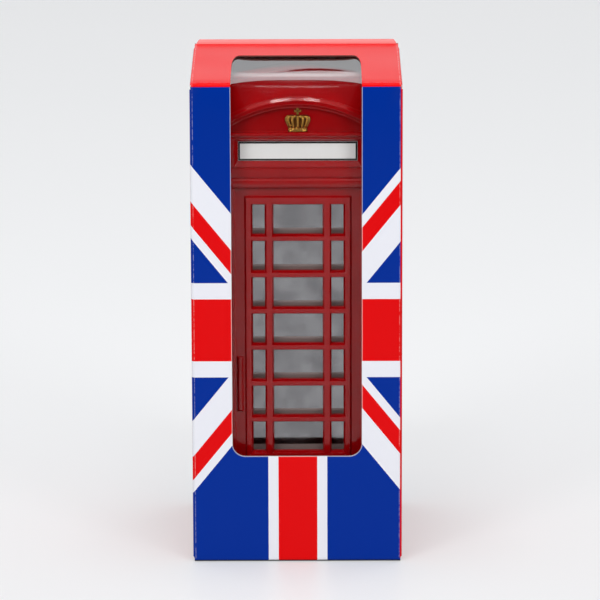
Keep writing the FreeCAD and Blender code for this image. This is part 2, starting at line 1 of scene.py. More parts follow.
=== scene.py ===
# %% [markdown]
# # A street-kiosk money bank in its window carton
# The object is a small red telephone kiosk, cast in metal, with a coin slot in its roof.
# It stands in the folded card carton that it is sold in, behind a window of bent clear film.
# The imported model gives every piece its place. This lesson dresses it, one finish at a time:
# printed card, clear film, red enamel, smoked glazing, opal signs and gilt crowns.

import json
import math

import bmesh
import bpy
from mathutils import Matrix, Vector


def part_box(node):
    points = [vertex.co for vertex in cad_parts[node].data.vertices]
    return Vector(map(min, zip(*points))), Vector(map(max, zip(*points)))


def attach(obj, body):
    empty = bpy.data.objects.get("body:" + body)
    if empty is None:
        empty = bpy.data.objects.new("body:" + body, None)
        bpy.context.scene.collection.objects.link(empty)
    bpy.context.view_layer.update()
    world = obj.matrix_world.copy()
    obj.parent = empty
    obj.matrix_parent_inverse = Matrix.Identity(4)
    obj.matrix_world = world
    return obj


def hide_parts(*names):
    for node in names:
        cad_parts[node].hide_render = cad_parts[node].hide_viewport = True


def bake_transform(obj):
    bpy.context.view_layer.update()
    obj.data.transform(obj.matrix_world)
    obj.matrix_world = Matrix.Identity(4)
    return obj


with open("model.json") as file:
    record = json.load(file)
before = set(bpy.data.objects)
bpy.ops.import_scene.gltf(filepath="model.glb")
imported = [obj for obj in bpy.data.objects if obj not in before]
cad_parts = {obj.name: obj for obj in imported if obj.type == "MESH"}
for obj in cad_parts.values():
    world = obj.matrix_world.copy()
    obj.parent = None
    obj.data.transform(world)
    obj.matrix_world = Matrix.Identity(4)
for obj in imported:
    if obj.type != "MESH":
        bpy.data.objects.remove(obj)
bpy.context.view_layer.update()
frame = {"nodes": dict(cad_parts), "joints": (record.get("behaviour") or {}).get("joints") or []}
nodes = frame["nodes"]
scene = bpy.context.scene
scene.view_settings.view_transform = "Standard"
mm = 0.001

# %% [markdown]
# ## Camera
# A long lens, far away and a little above, keeps the carton's upright edges nearly parallel.
# A camera can be aimed by eye, but then no size can be checked against the photograph. So six
# corners of the carton were measured there, and a perspective camera was fitted to them. Its
# distance, tilt and small roll are written here as that fit gave them.

# %% Camera
image_width = 600
focal_pixels = 4922
camera_target = Vector((1.07, 0.0, 86.58)) * mm
camera_distance = 1.760
camera_elevation = math.radians(14.60)
camera_yaw = math.radians(-0.12)
camera_roll = math.radians(-0.17)


def make_camera():
    """The photograph's camera, aimed at the middle of the carton."""
    level = math.cos(camera_elevation)
    drop = -math.sin(camera_elevation)
    ahead = Vector((math.sin(camera_yaw) * level, math.cos(camera_yaw) * level, drop))
    right = ahead.cross(Vector((0, 0, 1))).normalized()
    up = right.cross(ahead)
    rolled_right = right * math.cos(camera_roll) + up * math.sin(camera_roll)
    rolled_up = up * math.cos(camera_roll) - right * math.sin(camera_roll)
    data = bpy.data.cameras.new("camera")
    data.lens = data.sensor_width * focal_pixels / image_width
    camera = bpy.data.objects.new("camera", data)
    turn = Matrix((rolled_right, rolled_up, -ahead)).transposed().to_4x4()
    camera.matrix_world = Matrix.Translation(camera_target - ahead * camera_distance) @ turn
    scene.collection.objects.link(camera)
    scene.camera = camera
    return camera


print("lens", round(make_camera().data.lens, 1), "mm")

# %% [markdown]
# ## A short way to write nodes
# Every finish below is a small graph of shader nodes. Written out in full, each node takes
# several lines, so this helper adds nodes and joins them in one call each.
# Colours are given as the 0 to 255 values that a picture shows, and turned into light values.

# %% Node helper
COLOUR = "NodeSocketColor"
VALUE = "NodeSocketFloat"
VECTOR = "NodeSocketVector"
flat_map = "flat_sheet"


def light_value(channel):
    """The share of light that a picture's 0 to 255 value stands for, by the sRGB curve."""
    share = channel / 255
    return share / 12.92 if share <= 0.04045 else ((share + 0.055) / 1.055) ** 2.4


def colour(red, green, blue):
    """A shader's colour from the three values that a picture shows."""
    return (light_value(red), light_value(green), light_value(blue), 1.0)


class Tree:
    """Short calls that add nodes to a material, a world or a group and join them."""

    def __init__(self, node_tree):
        self.nodes = node_tree.nodes
        self.links = node_tree.links

    def feed(self, socket, value):
        """Join a socket to another one, or set it to a constant."""
        if isinstance(value, bpy.types.NodeSocket):
            self.links.new(value, socket)
        else:
            socket.default_value = value

    def add(self, kind, **settings):
        node = self.nodes.new(kind)
        for name, value in settings.items():
            setattr(node, name, value)
        return node

    def maths(self, operation, *values):
        node = self.add("ShaderNodeMath", operation=operation)
        for socket, value in zip(node.inputs, values):
            self.feed(socket, value)
        return node.outputs[0]

    def vector(self, operation, *values):
        """A vector operation; its dot product comes out as a value."""
        node = self.add("ShaderNodeVectorMath", operation=operation)
        for socket, value in zip(node.inputs, values):
            self.feed(socket, value)
        return node.outputs["Value" if operation == "DOT_PRODUCT" else "Vector"]

    def parts(self, vector):
        """The x, y and z values of a vector."""
        node = self.add("ShaderNodeSeparateXYZ")
        self.feed(node.inputs[0], vector)
        return node.outputs

    def rise(self, value, low, high):
        """0 up to low, 1 from high on, and a smooth step between them."""
        node = self.add("ShaderNodeMapRange", interpolation_type="SMOOTHSTEP")
        for socket, given in zip(node.inputs, (value, low, high)):
            self.feed(socket, given)
        return node.outputs[0]

    def between(self, share, low, high):
        """A value that goes from low to high as the share goes from 0 to 1."""
        return self.maths("MULTIPLY_ADD", share, high - low, low)

    def mix(self, share, first, second):
        """The first colour, with a share of the second one over it."""
        node = self.add("ShaderNodeMix", data_type="RGBA")
        # The node has sockets for every kind of data; these are its share and its two colours.
        for index, value in ((0, share), (6, first), (7, second)):
            self.feed(node.inputs[index], value)
        return node.outputs[2]

    def noise(self, place, grains_per_metre, detail=2.0):
        node = self.add("ShaderNodeTexNoise")
        for name, value in (("Vector", place), ("Scale", grains_per_metre), ("Detail", detail)):
            self.feed(node.inputs[name], value)
        return node.outputs[0]

    def bump(self, height, depth, normal=None):
        """A normal that follows a height from 0 to 1, this many metres deep."""
        node = self.add("ShaderNodeBump")
        self.feed(node.inputs["Height"], height)
        self.feed(node.inputs["Distance"], depth)
        if normal is not None:
            self.feed(node.inputs["Normal"], normal)
        return node.outputs[0]

    def place(self, group, **inputs):
        """Put a node group in this tree; returns its outputs."""
        node = self.add("ShaderNodeGroup", node_tree=group)
        for name, value in inputs.items():
            self.feed(node.inputs[name], value)
        return node.outputs

    def object_place(self):
        return self.add("ShaderNodeTexCoord").outputs["Object"]

    def sheet_place(self):
        """The place on a bent sheet as it was while the sheet was flat."""
        return self.add("ShaderNodeUVMap", uv_map=flat_map).outputs[0]


def new_material(name, **constants):
    """A material with one Principled shader; constants are set on the shader's own sockets."""
    material = bpy.data.materials.new(name)
    material.use_nodes = True
    tree = Tree(material.node_tree)
    shader = material.node_tree.nodes["Principled BSDF"]
    for socket, value in constants.items():
        shader.inputs[socket.replace("_", " ")].default_value = value
    return material, tree, shader.inputs


def new_group(name, inputs, outputs):
    """A shader node group with these named sockets; returns it, its tree and its two ends."""
    group = bpy.data.node_groups.new(name, "ShaderNodeTree")
    for label, kind in inputs.items():
        group.interface.new_socket(label, in_out="INPUT", socket_type=kind)
    for label, kind in outputs.items():
        group.interface.new_socket(label, in_out="OUTPUT", socket_type=kind)
    tree = Tree(group)
    given = tree.add("NodeGroupInput").outputs
    result = tree.add("NodeGroupOutput").inputs
    return group, tree, given, result


def dress(material, *names):
    """Give CAD nodes this material."""
    for name in names:
        nodes[name].material_slots[0].material = material
    print(material.name, "on", ", ".join(names))


print("node helper ready")

# %% [markdown]
# ## Studio
# The photograph was taken on a white table under soft light: pale all round, with a soft shadow
# that hugs the carton's foot. The table ends in front of the carton, and beyond it the room is
# darker. That edge shows as a mirror image in the panes, so the floor here ends there too.
# The table's paleness is partly its own glow, which only the eye and mirrors see: it whitens the
# picture without lighting the object from below, and it fades close to the carton, in whose
# shade the table lies. The world is a pale backdrop for the camera, a backdrop under a dark
# ceiling for mirrors, and a dim even sky for everything else.

# %% Floor and world
floor_front = -0.66
floor_reach = 4.0
floor_colour = colour(170, 171, 172)
floor_cloud = colour(174, 174, 175)
floor_patches = 3.0
near_glow = colour(167, 168, 169)
far_glow = colour(180, 181, 182)
glow_change = (-0.1, 0.3)
shade_reach = 0.05
shade_strength = 0.25
backdrop_colour = colour(232, 233, 234)
room_light = colour(170, 170, 172)
mirrored_low = colour(250, 250, 251)
mirrored_high = colour(212, 213, 215)
dark_room = colour(52, 52, 54)
table_line = (-0.04, 0.02)
backdrop_fade = (0.10, 0.26)
backdrop_top = 0.34
backdrop_blur = 0.04


def make_floor():
    """A wide light table whose near edge is just in front of the object."""
    corners = [(-floor_reach, floor_front), (floor_reach, floor_front)]
    corners += [(floor_reach, floor_reach), (-floor_reach, floor_reach)]
    mesh = bpy.data.meshes.new("floor")
    mesh.from_pydata([(x, y, 0.0) for x, y in corners], [], [(0, 1, 2, 3)])
    floor = bpy.data.objects.new("floor", mesh)
    material, tree, shader = new_material("floor", Roughness=0.42, IOR=1.3, Emission_Strength=1.0)
    place = tree.object_place()
    cloud = tree.noise(place, floor_patches)
    tree.feed(shader["Base Color"], tree.mix(cloud, floor_colour, floor_cloud))
    ray = tree.add("ShaderNodeLightPath").outputs
    in_mirrors = tree.maths("MAXIMUM", ray["Is Glossy Ray"], ray["Is Transmission Ray"])
    seen = tree.maths("MAXIMUM", ray["Is Camera Ray"], in_mirrors)
    glow = tree.mix(tree.rise(tree.parts(place)["Y"], *glow_change), near_glow, far_glow)
    shade = tree.add("ShaderNodeAmbientOcclusion", samples=8)
    shade.inputs["Distance"].default_value = shade_reach
    open_share = tree.between(shade.outputs["AO"], 1.0 - shade_strength, 1.0)
    shown = tree.maths("MULTIPLY", seen, open_share)
    tree.feed(shader["Emission Color"], tree.mix(shown, (0, 0, 0, 1), glow))
    mesh.materials.append(material)
    scene.collection.objects.link(floor)
    return floor


def make_world():
    """A dim sky; mirrors see a pale backdrop under a dark ceiling, the camera plain pale."""
    world = bpy.data.worlds.new("studio")
    world.use_nodes = True
    scene.world = world
    tree = Tree(world.node_tree)
    height = tree.parts(tree.add("ShaderNodeTexCoord").outputs["Generated"])["Z"]
    over_table = tree.rise(height, *table_line)
    under_ceiling = tree.rise(height, backdrop_top + backdrop_blur, backdrop_top - backdrop_blur)
    on_backdrop = tree.maths("MULTIPLY", over_table, under_ceiling)
    backdrop = tree.mix(tree.rise(height, *backdrop_fade), mirrored_low, mirrored_high)
    mirrored_room = tree.mix(on_backdrop, dark_room, backdrop)
    ray = tree.add("ShaderNodeLightPath").outputs
    sky = tree.mix(over_table, dark_room, room_light)
    room = tree.mix(ray["Is Glossy Ray"], sky, mirrored_room)
    background = world.node_tree.nodes["Background"].inputs
    tree.feed(background["Color"], tree.mix(ray["Is Camera Ray"], room, backdrop_colour))


make_world()
print(make_floor().name, "from", floor_front, "m")

# %% [markdown]
# ## Lights
# One very large soft box hangs over the table and does most of the work: it lights every ledge
# and sill from above, so the mouldings read. Lamps from the front alone would flatten them.
# Two more boxes stand in front, left and right, and two weak ones behind keep the back from
# going dim. Two narrow strips put the short bright dashes on the arch, and a third hangs right
# over the fold, for the light band in the film's bend.

# %% Soft boxes
light_aim = Vector((0, 0, 90)) * mm
straight_down = Vector((0, 0, -1))
overhead = Vector((0.0, -0.60, 1.25))
over_fold = Vector((0.0, 0.05, 1.22))


def soft_box(name, place, width, depth, watts, aim=light_aim):
    """An area light of this size, aimed at the middle of the object or at another place."""
    data = bpy.data.lights.new(name, "AREA")
    data.shape = "RECTANGLE"
    data.size = width
    data.size_y = depth
    data.energy = watts
    light = bpy.data.objects.new(name, data)
    light.location = place
    light.rotation_euler = (aim - Vector(place)).to_track_quat("-Z", "Y").to_euler()
    scene.collection.objects.link(light)


soft_box("key_above", overhead, 1.60, 1.90, 7.6, aim=overhead + straight_down)
soft_box("left_front", (-0.80, -1.10, 0.75), 0.40, 0.60, 7.0)
soft_box("right_front", (0.80, -1.10, 0.75), 0.40, 0.60, 5.6)
soft_box("left_strip", (-0.16, -0.57, 1.15), 0.20, 0.12, 1.3)
soft_box("right_strip", (0.13, -0.57, 1.15), 0.15, 0.12, 1.0)
soft_box("fold_strip", over_fold, 0.50, 0.22, 2.0, aim=over_fold + straight_down)
soft_box("left_rear", (-1.00, 1.10, 0.80), 0.50, 0.60, 1.6)
soft_box("right_rear", (1.00, 1.10, 0.80), 0.50, 0.60, 1.6)

# %% [markdown]
# ## Effects that several finishes share
# Real edges are never perfectly sharp: paint pulls thin over them and handling polishes them.
# The bevel node looks at the surface nearby, so the angle between its normal and the true one
# marks the edges. One group gives that mask and a softened normal to every metal finish.
# A second group gives slow colour change and a fine bump, so no finish is one flat colour.

# %% Edge wear and mottle
wear_grains = 700.0
wear_range = (0.02, 0.16)


def make_edge_wear():
    """Mask of the edges within a radius, broken up by grain, and the softened normal."""
    group, tree, given, result = new_group(
        "edge_wear", {"Radius": VALUE}, {"Mask": VALUE, "Normal": VECTOR}
    )
    bevel = tree.add("ShaderNodeBevel", samples=6)
    tree.feed(bevel.inputs["Radius"], given["Radius"])
    soft_normal = bevel.outputs[0]
    true_normal = tree.add("ShaderNodeNewGeometry").outputs["True Normal"]
    bend = tree.maths("SUBTRACT", 1.0, tree.vector("DOT_PRODUCT", soft_normal, true_normal))
    grain = tree.noise(tree.object_place(), wear_grains, detail=4.0)
    tree.feed(result["Mask"], tree.rise(tree.maths("MULTIPLY", bend, grain), *wear_range))
    tree.feed(result["Normal"], soft_normal)
    return group


def make_mottle():
    """Slow patches and fine grain, each from 0 to 1, with this many grains to the metre."""
    group, tree, given, result = new_group(
        "mottle", {"Patches": VALUE, "Grains": VALUE}, {"Patch": VALUE, "Grain": VALUE}
    )
    place = tree.object_place()
    tree.feed(result["Patch"], tree.noise(place, given["Patches"], detail=3.0))
    tree.feed(result["Grain"], tree.noise(place, given["Grains"]))
    return group


edge_wear = make_edge_wear()
mottle = make_mottle()
print("groups:", edge_wear.name, mottle.name)

# %% [markdown]
# ## Red enamel
# The kiosk is cast in metal and stove-enamelled: a deep glossy red with a slight orange-peel
# surface, paler where it is thin on the edges. A clear coat over a matt red could give the gloss,
# but one glossy layer is simpler and enough at this size. The softened normal of the edge group
# lets each bar and sill catch a line of light.

# %% Red enamel
enamel_red = colour(156, 3, 6)
enamel_deep = colour(126, 2, 5)
enamel_thin = colour(186, 18, 16)
enamel_edge = 0.35 * mm
orange_peel = 0.012 * mm


def make_red_enamel():
    material, tree, shader = new_material("red_enamel", Roughness=0.09, IOR=1.40)
    wear = tree.place(edge_wear, Radius=enamel_edge)
    tone = tree.place(mottle, Patches=60.0, Grains=1400.0)
    body = tree.mix(tone["Patch"], enamel_deep, enamel_red)
    tree.feed(shader["Base Color"], tree.mix(wear["Mask"], body, enamel_thin))
    tree.feed(shader["Normal"], tree.bump(tone["Grain"], orange_peel, wear["Normal"]))
    return material


castings = ("door_wall", "left_wall", "right_wall", "back_wall", "roof", "plinth")
dress(make_red_enamel(), *castings)

# %% [markdown]
# ## Smoked glazing
# Behind the panes lies a thin moulded sheet that looks like dark mirror: it shows the pale table,
# much dimmed. A metal shader with a grey tint reflects in just that way, and clouds in the tint
# and roughness keep the reflection from being perfect. Along each pane's foot a dull brown strip
# is painted: a painted reflection of the shaded sill below it, so the height above each bar
# drives both the tint and the metal.

# %% Smoked glazing
pane_pitch = 13.17 * mm
pane_lap = 2.5 * mm
pane_strip = 1.5 * mm
smoke_dark = colour(116, 115, 117)
smoke_pale = colour(140, 139, 141)
sill_reflection_tint = colour(124, 109, 106)
strip_metallic = 0.2
smudge_range = (0.30, 0.70)
smudge_gloss = (0.06, 0.14)
sheet_grain = 0.004 * mm


def make_smoked_sheet():
    material, tree, shader = new_material("smoked_sheet")
    smudge = tree.place(mottle, Patches=110.0, Grains=500.0)
    cloud = tree.rise(smudge["Patch"], *smudge_range)
    lowest_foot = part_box("glazing_front")[0].z + pane_lap
    height = tree.maths("SUBTRACT", tree.parts(tree.object_place())["Z"], lowest_foot)
    over_bar = tree.maths("WRAP", height, pane_pitch - pane_strip, -pane_strip)
    # Painted reflection: a dull brown strip above each bar stands for the shaded sill mirrored in
    # the sheet.
    on_sill_strip = tree.maths("LESS_THAN", over_bar, pane_strip)
    sheet = tree.mix(cloud, smoke_dark, smoke_pale)
    tree.feed(shader["Base Color"], tree.mix(on_sill_strip, sheet, sill_reflection_tint))
    tree.feed(shader["Metallic"], tree.between(on_sill_strip, 1.0, strip_metallic))
    tree.feed(shader["Roughness"], tree.between(cloud, *smudge_gloss))
    tree.feed(shader["Normal"], tree.bump(smudge["Grain"], sheet_grain))
    return material


dress(make_smoked_sheet(), "glazing_front", "glazing_left", "glazing_right")

# %% [markdown]
# ## Opal signs
# Each pediment carries a small plate of white opal. A thin dark line is painted round its edge:
# a painted shadow of the recess that the plate sits in. The line could be a thin frame of its
# own. It is drawn in the material instead, by the distance to the plate's nearest edge, so it
# fits a plate of any size.

# %% Opal signs
sign_line = 0.65 * mm
sign_margin = 0.04 * mm
opal_white = colour(231, 231, 230)
opal_shade = colour(222, 221, 218)
opal_grain = 0.004 * mm
recess_shade = colour(28, 26, 27)


def make_opal_plate(name, across):
    """A plate with a painted shadow line round its border; across is the axis of its long side."""
    low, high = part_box(name)
    material, tree, shader = new_material("opal_" + name, Roughness=0.18, Coat_Weight=0.3)
    place = tree.parts(tree.object_place())
    to_edge = []
    for axis in (across, "Z"):
        index = "XYZ".index(axis)
        middle = (low[index] + high[index]) / 2
        half = (high[index] - low[index]) / 2
        offset = tree.maths("ABSOLUTE", tree.maths("SUBTRACT", place[axis], middle))
        to_edge.append(tree.maths("SUBTRACT", half, offset))
    nearest = tree.maths("MINIMUM", *to_edge)
    beyond = tree.maths("GREATER_THAN", nearest, sign_margin)
    within = tree.maths("LESS_THAN", nearest, sign_margin + sign_line)
    tone = tree.place(mottle, Patches=120.0, Grains=900.0)
    plate = tree.mix(tone["Patch"], opal_white, opal_shade)
    # Painted shadow: a dark line just inside the plate's edge, for the recess round it.
    on_shade_line = tree.maths("MULTIPLY", beyond, within)
    tree.feed(shader["Base Color"], tree.mix(on_shade_line, plate, recess_shade))
    tree.feed(shader["Normal"], tree.bump(tone["Grain"], opal_grain))
    return material


for sign, long_axis in (("front", "X"), ("back", "X"), ("left", "Y"), ("right", "Y")):
    dress(make_opal_plate("sign_" + sign, long_axis), "sign_" + sign)

# %% [markdown]
# ## Hidden metal and plastic
# Two long screws tie the plinth to the roof, and a turning stopper closes the floor. They are
# seen only with the carton unpacked. The screws are bright zinc plate, the stopper black
# moulded plastic with a satin skin.

# %% Screws and stopper
zinc_cool = colour(168, 170, 172)
zinc_warm = colour(186, 184, 174)
zinc_rubbed = colour(214, 214, 212)
zinc_gloss = (0.2, 0.4)
zinc_grain = 0.006 * mm
plastic_black = colour(22, 22, 23)
plastic_pale = colour(30, 30, 31)
plastic_rubbed = colour(58, 58, 60)
plastic_gloss = (0.38, 0.58)
plastic_grain = 0.01 * mm


def make_screw_steel():
    material, tree, shader = new_material("screw_steel", Metallic=1.0)
    wear = tree.place(edge_wear, Radius=0.2 * mm)
    tone = tree.place(mottle, Patches=200.0, Grains=2500.0)
    plate = tree.mix(tone["Patch"], zinc_cool, zinc_warm)
    tree.feed(shader["Base Color"], tree.mix(wear["Mask"], plate, zinc_rubbed))
    tree.feed(shader["Roughness"], tree.between(tone["Patch"], *zinc_gloss))
    tree.feed(shader["Normal"], tree.bump(tone["Grain"], zinc_grain, wear["Normal"]))
    return material


def make_black_plastic():
    material, tree, shader = new_material("black_plastic")
    wear = tree.place(edge_wear, Radius=0.3 * mm)
    tone = tree.place(mottle, Patches=80.0, Grains=3000.0)
    body = tree.mix(tone["Patch"], plastic_black, plastic_pale)
    tree.feed(shader["Base Color"], tree.mix(wear["Mask"], body, plastic_rubbed))
    tree.feed(shader["Roughness"], tree.between(tone["Grain"], *plastic_gloss))
    tree.feed(shader["Normal"], tree.bump(tone["Grain"], plastic_grain, wear["Normal"]))
    return material


dress(make_screw_steel(), "tie_screws")
dress(make_black_plastic(), "coin_stopper")

# %% [markdown]
# ## Printed card
# The carton is one sheet of board: printed and varnished outside, grey inside, and white where
# it is cut. The flag on the front and back is a set of straight bands, so it needs no picture
# file: it is drawn by formula from the distance across and up, and stays sharp at any size.
# A group holds it, because the front takes it from the flat sheet and the back from its own
# place. The sizes below are in millimetres.

# %% Flag print
print_blue = colour(0, 46, 148)
print_red = colour(226, 8, 12)
print_white = colour(236, 237, 244)
flag_centre = (0.2, 85.0)
flag_slope = 1.25
upright_red, upright_white = 6.85, 10.4
level_red, level_white = 11.25, 17.1
diagonal_red, diagonal_white = 8.6, 13.2


def make_flag_print():
    """Colour of the flag at a place across and up, both in metres."""
    group, tree, given, result = new_group(
        "flag_print", {"Across": VALUE, "Up": VALUE}, {"Colour": COLOUR}
    )
    across = tree.maths("SUBTRACT", tree.maths("DIVIDE", given["Across"], mm), flag_centre[0])
    up = tree.maths("SUBTRACT", tree.maths("DIVIDE", given["Up"], mm), flag_centre[1])
    far_across = tree.maths("ABSOLUTE", across)
    far_up = tree.maths("ABSOLUTE", up)
    above_diagonal = tree.maths("SUBTRACT", far_up, tree.maths("MULTIPLY", far_across, flag_slope))
    quarter = tree.maths("SIGN", tree.maths("MULTIPLY", across, up))
    red_side = tree.maths("MULTIPLY", above_diagonal, quarter)
    near_diagonal = tree.maths("LESS_THAN", tree.maths("ABSOLUTE", above_diagonal), diagonal_white)
    on_red_side = tree.maths("GREATER_THAN", red_side, 0.0)
    near_red = tree.maths("LESS_THAN", red_side, diagonal_red)
    red_diagonal = tree.maths("MULTIPLY", on_red_side, near_red)
    flag = tree.mix(near_diagonal, print_blue, print_white)
    flag = tree.mix(red_diagonal, flag, print_red)
    crosses = ((upright_white, level_white, print_white), (upright_red, level_red, print_red))
    for upright_half, level_half, band_colour in crosses:
        upright = tree.maths("LESS_THAN", far_across, upright_half)
        level = tree.maths("LESS_THAN", far_up, level_half)
        flag = tree.mix(tree.maths("MAXIMUM", upright, level), flag, band_colour)
    tree.feed(result["Colour"], flag)
    return group


flag_print = make_flag_print()
print("flag centred at", flag_centre, "mm")

# %% [markdown]
# ## Which side of the card is it?
# A panel that stays as the imported model gives it shows three surfaces: print outside, grey
# board inside, white fibre at its cut edges. The direction in which a face looks tells them
# apart, measured against the panel's own outward direction. The lowest part of the print is
# painted dark: painted shade that draws the shadow line along the carton's foot.

# %% Card faces
plain_board = colour(158, 153, 146)
board_shade = colour(146, 141, 134)
board_mottle = {"Patches": 120.0, "Grains": 2200.0}
board_roughness = 0.75
board_dullness = 0.5
board_grain = 0.02 * mm
cut_white = colour(238, 237, 234)
print_mottle = {"Patches": 35.0, "Grains": 1800.0}
print_gloss = (0.18, 0.26)
print_grain = 0.008 * mm
foot_shade_colour = colour(20, 17, 22)
foot_shade_height = 0.85 * mm
turned_away = 0.3


def make_card_faces():
    """Masks of the printed side and of the cut edges, from the direction a face looks in."""
    group, tree, given, result = new_group(
        "card_faces", {"Outward": VECTOR}, {"Printed": VALUE, "Cut": VALUE}
    )
    normal = tree.add("ShaderNodeTexCoord").outputs["Normal"]
    facing = tree.vector("DOT_PRODUCT", normal, given["Outward"])
    tree.feed(result["Printed"], tree.maths("GREATER_THAN", facing, turned_away))
    tree.feed(result["Cut"], tree.maths("LESS_THAN", tree.maths("ABSOLUTE", facing), turned_away))
    return group


card_faces = make_card_faces()


def varnished(name):
    """A material with the gloss of varnished print: weak from the front, strong at a slant."""
    return new_material(name, Roughness=0.22, IOR=1.17)


def make_panel_card(name, outward, flag_until=None):
    """Print outside, board inside, white edges; the flag is printed in front of flag_until."""
    material, tree, shader = varnished("card_" + name)
    side = tree.place(card_faces, Outward=outward)
    tone = tree.place(mottle, **print_mottle)
    place = tree.parts(tree.object_place())
    inked = print_red
    if flag_until is not None:
        flag = tree.place(flag_print, Across=place["X"], Up=place["Z"])["Colour"]
        inked = tree.mix(tree.maths("LESS_THAN", place["Y"], flag_until), print_red, flag)
    # Painted shade: the print is darkened below this height, for the shadow line along the foot.
    foot_shade = tree.rise(place["Z"], foot_shade_height, foot_shade_height / 2)
    inked = tree.mix(foot_shade, inked, foot_shade_colour)
    board = tree.mix(tone["Grain"], plain_board, board_shade)
    shown = tree.mix(side["Printed"], board, inked)
    tree.feed(shader["Base Color"], tree.mix(side["Cut"], shown, cut_white))
    gloss = tree.between(tone["Patch"], *print_gloss)
    dull = tree.between(side["Printed"], board_dullness, 0.0)
    tree.feed(shader["Roughness"], tree.maths("ADD", gloss, dull))
    tree.feed(shader["Normal"], tree.bump(tone["Grain"], print_grain))
    return material


def make_plain_card(name, first, second):
    """Unprinted board, inside the carton or at its cut edges."""
    material, tree, shader = new_material(name, Roughness=board_roughness)
    tone = tree.place(mottle, **board_mottle)
    tree.feed(shader["Base Color"], tree.mix(tone["Grain"], first, second))
    tree.feed(shader["Normal"], tree.bump(tone["Grain"], board_grain))
    return material


crease_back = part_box("carton_left")[0].y + 0.7 * mm
behind_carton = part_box("carton_back")[1].y + mm
slant = 0.7
panels = (
    ("carton_left", (-1, 0, 0), crease_back),
    ("carton_right", (1, 0, 0), None),
    ("carton_back", (0, 1, 0), behind_carton),
    ("carton_base", (0, -slant, -slant), crease_back),
    ("base_flap_left", (-slant, 0, -slant), None),
    ("base_flap_right", (slant, 0, -slant), None),
    ("dust_flap_left", (-slant, 0, slant), None),
    ("dust_flap_right", (slant, 0, slant), None),
    ("glue_seam", (0, 1, 0), None),
)
for panel, panel_outward, flag_end in panels:
    dress(make_panel_card(panel, panel_outward, flag_end), panel)

# %% [markdown]
# ## Folding a flat sheet
# Card and film are flat sheets that have been bent. A modifier could bend a flat mesh, but it
# bends it evenly, without creases. So here a sheet is a list of faces drawn flat, by their place
# across and up, and a function that says where each place ends up at some depth below the skin.
# The flat coordinates stay on the mesh as a UV map, so the print stays put when the lid swings.

# %% Sheet builder
SKIN, BACK, CUT = range(3)


def solid_sheet(name, faces, folded, thickness, finishes):
    """A closed sheet from faces drawn flat; finishes are its skin, back and cut edge."""
    build = bmesh.new()
    flat = build.loops.layers.uv.new(flat_map)
    corners = sorted({corner for face in faces for corner in face})
    skin = {corner: build.verts.new(folded(*corner, 0.0)) for corner in corners}
    back = {corner: build.verts.new(folded(*corner, thickness)) for corner in corners}
    spot = {vertex: corner for layer in (skin, back) for corner, vertex in layer.items()}
    sides = {pair for face in faces for pair in zip(face, face[1:] + face[:1])}
    made = []
    for face in faces:
        made.append((build.faces.new([skin[corner] for corner in face]), SKIN))
        made.append((build.faces.new([back[corner] for corner in reversed(face)]), BACK))
    for first, second in sorted(sides):
        if (second, first) not in sides:
            edge_corners = (skin[second], skin[first], back[first], back[second])
            made.append((build.faces.new(edge_corners), CUT))
    for face, finish in made:
        face.material_index = finish
        face.smooth = finish != CUT
        for loop in face.loops:
            loop[flat].uv = spot[loop.vert]
    for edge in build.edges:
        edge.smooth = len({face.material_index for face in edge.link_faces}) == 1
    mesh = bpy.data.meshes.new(name)
    build.to_mesh(mesh)
    build.free()
    for finish in finishes:
        mesh.materials.append(finish)
    piece = bpy.data.objects.new(name, mesh)
    scene.collection.objects.link(piece)
    print(name, len(mesh.polygons), "faces")
    return piece


def steps(start, end, count):
    """Evenly spaced values from start to end, both included."""
    return [start + (end - start) * index / count for index in range(count + 1)]


def cells(columns, rows):
    """Four-sided faces between neighbouring columns and rows."""
    return [
        ((left, low), (right, low), (right, high), (left, high))
        for low, high in zip(rows, rows[1:])
        for left, right in zip(columns, columns[1:])
    ]


print("sheet builder ready")

# %% [markdown]
# ## Front panel and lid
# The front panel runs over the top fold into the lid, and the window is cut through both. On
# the real carton that is one piece of card, so it is one piece here: a sheet with a hole, bent
# round the fold, with its side edges bent back along the upright creases.

# %% Front and lid sheet
front_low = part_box("carton_front")[0]
lid_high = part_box("lid_panel")[1]
lid_film_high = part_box("window_film_lid")[1]
lid_joint = next(joint for joint in frame["joints"] if joint["name"] == "lid_crease")
fold_height = lid_joint["pos_m"][2]
front_face = front_low.y
lid_top = lid_high.z
crease = lid_top - fold_height
card = lid_top - lid_film_high.z
flat_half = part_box("carton_right")[1].x - crease
lid_half = lid_high.x
fold_end = fold_height + crease * math.pi / 2
lid_start = front_face + crease


def lid_up(y):
    """How far up the sheet a place on the lid is."""
    return fold_end + y - lid_start


window_half = 22.8 * mm
sill_height = 39.0 * mm
sill_corner = 4.6 * mm
rear_corner_across, rear_corner_along = 2.6 * mm, 17.0 * mm
window_rear = lid_up(11.8 * mm)
rear_corner_start = window_rear - rear_corner_along
window_columns = [0.0, 6 * mm, 12 * mm]
margin_columns = [27 * mm, 31 * mm]


def mirrored(values):
    return sorted({-value for value in values} | set(values))


